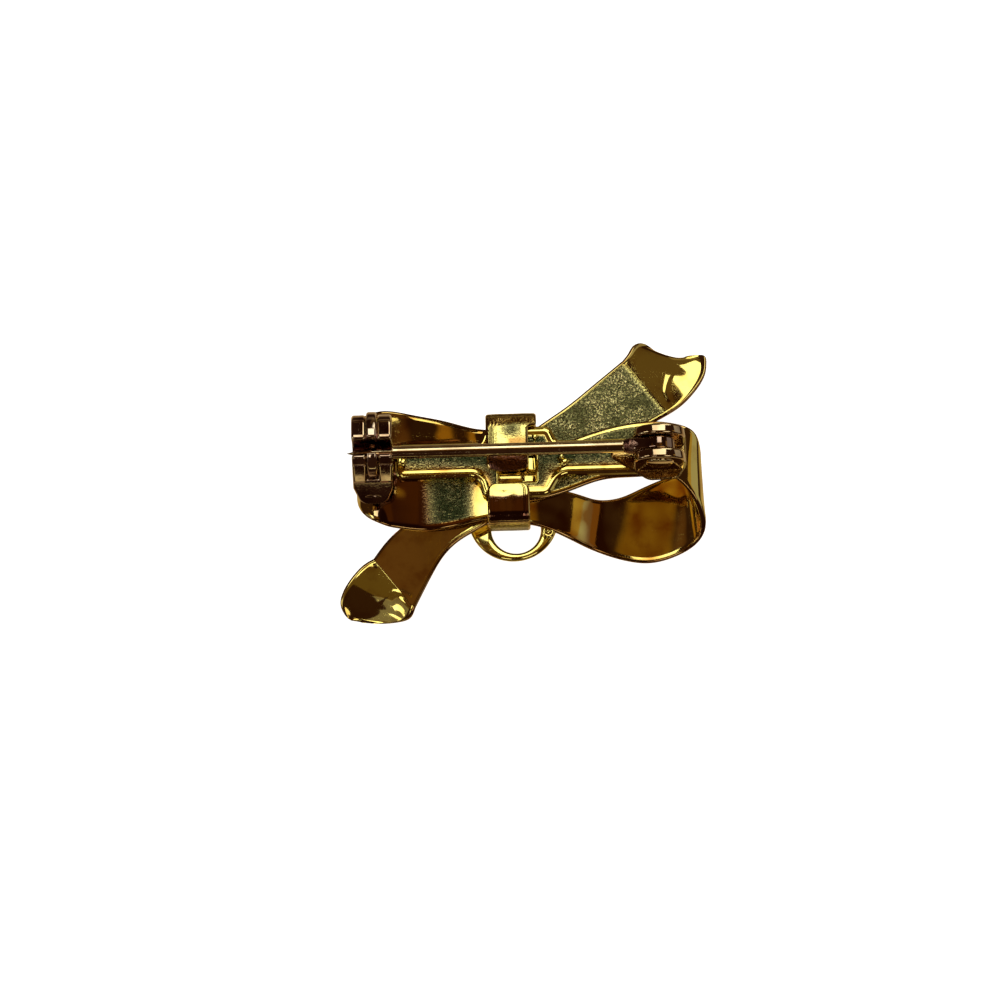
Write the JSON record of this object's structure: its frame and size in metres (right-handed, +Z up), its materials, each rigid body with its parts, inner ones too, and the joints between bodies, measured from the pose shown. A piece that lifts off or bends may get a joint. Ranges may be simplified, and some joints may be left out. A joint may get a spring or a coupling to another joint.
{
  "type": "bow brooch",
  "caption": "Sheet-metal bow brooch with twisted loops, creased tails, a folded knot band, a hanger loop, and a hinged pin with a turning safety catch.",
  "frame": {"origin": "the point on the table under the middle of the brooch, which lies face down", "axes": "+X along the pin from its point to its hinge, +Y across the bow away from the hanger loop, +Z up, out of the brooch's back"},
  "size_m": [0.0312, 0.0236, 0.0109],
  "materials": {
    "bow_sheet": "mirror gold plate",
    "tail_sheet": "gold plate, grained on the flat",
    "knot_sheet": "gold plate with draw lines",
    "hanger_wire": "polished gold plate",
    "stamped_bar": "gold plate, grained on the flat",
    "rose_fittings": "polished rose gold plate"
  },
  "bodies": {
    "root": {"loop_left": "bow_sheet", "loop_right": "bow_sheet", "tail_strip": "tail_sheet", "knot_band": "knot_sheet", "hanger_loop": "hanger_wire", "back_plate": "stamped_bar", "hinge_rivet": "rose_fittings"},
    "pin": {"pin_stem": "rose_fittings"},
    "lever": {"catch_lever": "rose_fittings"}
  },
  "joints": [
    {"name": "pin_swing", "type": "hinge", "parent": "root", "child": "pin", "pos_m": [0.0111, 0.00125, 0.00812], "axis": [0, 1, 0], "range_deg": [0, 100]},
    {"name": "catch_turn", "type": "hinge", "parent": "root", "child": "lever", "pos_m": [-0.0124, 0.0019, 0.00812], "axis": [-1, 0, 0], "range_deg": [0, 85]}
  ]
}
